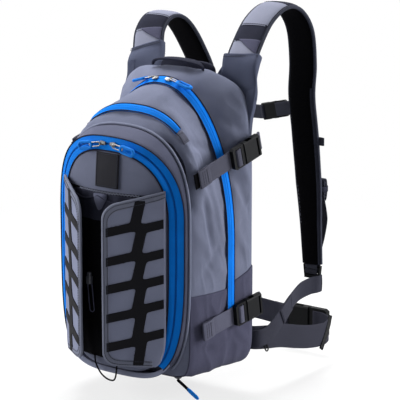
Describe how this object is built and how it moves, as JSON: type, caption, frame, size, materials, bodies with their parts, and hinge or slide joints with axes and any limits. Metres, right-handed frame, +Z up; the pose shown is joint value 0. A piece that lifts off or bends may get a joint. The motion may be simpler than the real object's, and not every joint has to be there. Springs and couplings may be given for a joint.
{
  "type": "ski backpack",
  "caption": "Ski backpack with a zipped main bag, a front pocket behind hinged flaps, side straps with side-release buckles, padded shoulder straps, a sternum strap and a hip belt.",
  "frame": {"origin": "centre of the flat middle of the back pad, which lies on the wearer's back", "axes": "+Z up, +Y out of the back pad towards the wearer, +X to the pack's right side as its front is looked at"},
  "size_m": [0.2974, 0.4801, 0.5843],
  "materials": {
    "grey_cloth": "matte",
    "dark_cloth": "matte",
    "blue_zip": "satin",
    "black_cloth": "matte",
    "webbing": "matte",
    "buckle_plastic": "satin",
    "zip_metal": "satin",
    "back_foam": "matte",
    "frame_board": "matte"
  },
  "bodies": {
    "pack": {"main_bag": "grey_cloth", "base_boot": "dark_cloth", "back_pad": "back_foam", "frame_sheet": "frame_board", "front_pocket": "grey_cloth", "front_piping": "grey_cloth", "front_zip_frame": "blue_zip", "main_zip": "blue_zip", "mid_zip": "blue_zip", "mid_zip_tab": "webbing", "yoke_panel": "dark_cloth", "wing_right": "dark_cloth", "wing_left": "dark_cloth", "strap_right": "grey_cloth", "strap_left": "grey_cloth", "lower_web_right": "webbing", "lower_web_left": "webbing", "hip_web_right": "webbing", "hip_web_left": "webbing", "hip_socket": "buckle_plastic", "upper_right_web": "webbing", "upper_right_socket": "buckle_plastic", "lower_right_web": "webbing", "lower_right_socket": "buckle_plastic", "upper_left_web": "webbing", "upper_left_socket": "buckle_plastic", "lower_left_web": "webbing", "lower_left_socket": "buckle_plastic"},
    "front_door": {"front_panel": "grey_cloth", "front_zip_door": "blue_zip", "tool_sleeve": "black_cloth", "label_patch": "black_cloth", "elastic_loop": "black_cloth"},
    "flap_right": {"flap_right": "grey_cloth"},
    "flap_left": {"flap_left": "grey_cloth"},
    "cord_lock": {"cord_lock": "buckle_plastic"},
    "front_slider_right": {"front_slider_right": "zip_metal"},
    "front_slider_left": {"front_slider_left": "zip_metal"},
    "front_pull_right": {"front_pull_right": "zip_metal"},
    "front_pull_left": {"front_pull_left": "zip_metal"},
    "main_slider_right": {"main_slider_right": "zip_metal"},
    "main_slider_left": {"main_slider_left": "zip_metal"},
    "main_pull_right": {"main_pull_right": "zip_metal"},
    "main_pull_left": {"main_pull_left": "zip_metal"},
    "base_slider": {"base_slider": "zip_metal"},
    "base_pull": {"base_pull": "blue_zip"},
    "haul_loop": {"haul_loop": "webbing"},
    "ladder_right": {"ladder_right": "buckle_plastic"},
    "ladder_left": {"ladder_left": "buckle_plastic"},
    "upper_right_plug": {"upper_right_plug": "buckle_plastic"},
    "lower_right_plug": {"lower_right_plug": "buckle_plastic"},
    "upper_left_plug": {"upper_left_plug": "buckle_plastic"},
    "lower_left_plug": {"lower_left_plug": "buckle_plastic"},
    "sternum": {"sternum_web_right": "webbing", "sternum_web_left": "webbing", "sternum_socket": "buckle_plastic"},
    "sternum_plug": {"sternum_plug": "buckle_plastic"},
    "hip_plug": {"hip_plug": "buckle_plastic"}
  },
  "joints": [
    {"name": "front_door", "type": "hinge", "parent": "pack", "child": "front_door", "pos_m": [0, -0.187, -0.215], "axis": [1, 0, 0], "range_deg": [0, 85]},
    {"name": "flap_right", "type": "hinge", "parent": "front_door", "child": "flap_right", "pos_m": [0.1, -0.184, -0.05], "axis": [0, 0, 1], "range_deg": [-8, 60]},
    {"name": "flap_left", "type": "hinge", "parent": "front_door", "child": "flap_left", "pos_m": [-0.1, -0.184, -0.05], "axis": [0, 0, -1], "range_deg": [-8, 60]},
    {"name": "cord_lock", "type": "slide", "parent": "front_door", "child": "cord_lock", "axis": [0, -0.0574, 0.9984], "range_m": [-0.02, 0.02]},
    {"name": "front_slider_right", "type": "slide", "parent": "front_door", "child": "front_slider_right", "axis": [1, 0, 0], "range_m": [0, 0.025]},
    {"name": "front_slider_left", "type": "slide", "parent": "front_door", "child": "front_slider_left", "axis": [-1, 0, 0], "range_m": [0, 0.025]},
    {"name": "front_pull_right", "type": "hinge", "parent": "front_slider_right", "child": "front_pull_right", "pos_m": [0.0125, -0.20333, 0.144], "axis": [-0.2079, 0, -0.9781], "range_deg": [0, 95]},
    {"name": "front_pull_left", "type": "hinge", "parent": "front_slider_left", "child": "front_pull_left", "pos_m": [-0.0125, -0.20333, 0.144], "axis": [-0.2079, 0, 0.9781], "range_deg": [0, 95]},
    {"name": "main_slider_right", "type": "hinge", "parent": "pack", "child": "main_slider_right", "pos_m": [0, -0.066, 0.14868], "axis": [0, 1, 0], "range_deg": [0, 18]},
    {"name": "main_slider_left", "type": "hinge", "parent": "pack", "child": "main_slider_left", "pos_m": [0, -0.066, 0.14868], "axis": [0, -1, 0], "range_deg": [0, 18]},
    {"name": "main_pull_right", "type": "hinge", "parent": "main_slider_right", "child": "main_pull_right", "pos_m": [0.01579, -0.06941, 0.2292], "axis": [-0.0635, -0.9138, -0.4011], "range_deg": [0, 95]},
    {"name": "main_pull_left", "type": "hinge", "parent": "main_slider_left", "child": "main_pull_left", "pos_m": [-0.01579, -0.06941, 0.2292], "axis": [-0.0635, 0.9138, 0.4011], "range_deg": [0, 95]},
    {"name": "base_slider", "type": "slide", "parent": "pack", "child": "base_slider", "axis": [-1, 0, 0], "range_m": [0, 0.025]},
    {"name": "base_pull", "type": "hinge", "parent": "base_slider", "child": "base_pull", "pos_m": [0.095, -0.149, -0.2241], "axis": [0, 1, 0], "range_deg": [-20, 75]},
    {"name": "haul_loop", "type": "hinge", "parent": "pack", "child": "haul_loop", "pos_m": [0, -0.028, 0.239], "axis": [1, 0, 0], "range_deg": [-40, 55]},
    {"name": "ladder_right", "type": "hinge", "parent": "pack", "child": "ladder_right", "pos_m": [0.113, 0.183, -0.1024], "axis": [1, 0, 0], "range_deg": [-15, 15]},
    {"name": "ladder_left", "type": "hinge", "parent": "pack", "child": "ladder_left", "pos_m": [-0.113, 0.183, -0.1024], "axis": [1, 0, 0], "range_deg": [-15, 15]},
    {"name": "upper_right_plug", "type": "slide", "parent": "pack", "child": "upper_right_plug", "axis": [-0.0537, -0.9627, -0.2651], "range_m": [0, 0.024]},
    {"name": "lower_right_plug", "type": "slide", "parent": "pack", "child": "lower_right_plug", "axis": [-0.0179, -0.9895, -0.1434], "range_m": [0, 0.024]},
    {"name": "upper_left_plug", "type": "slide", "parent": "pack", "child": "upper_left_plug", "axis": [0.0813, -0.9605, -0.266], "range_m": [0, 0.024]},
    {"name": "lower_left_plug", "type": "slide", "parent": "pack", "child": "lower_left_plug", "axis": [0.0179, -0.9895, -0.1434], "range_m": [0, 0.024]},
    {"name": "sternum_height", "type": "slide", "parent": "pack", "child": "sternum", "axis": [0, 0, 1], "range_m": [-0.02, 0.02]},
    {"name": "sternum_plug", "type": "slide", "parent": "sternum", "child": "sternum_plug", "axis": [0.9722, 0, 0.2342], "range_m": [0, 0.019]},
    {"name": "hip_plug", "type": "slide", "parent": "pack", "child": "hip_plug", "axis": [1, 0, 0], "range_m": [0, 0.032]}
  ]
}
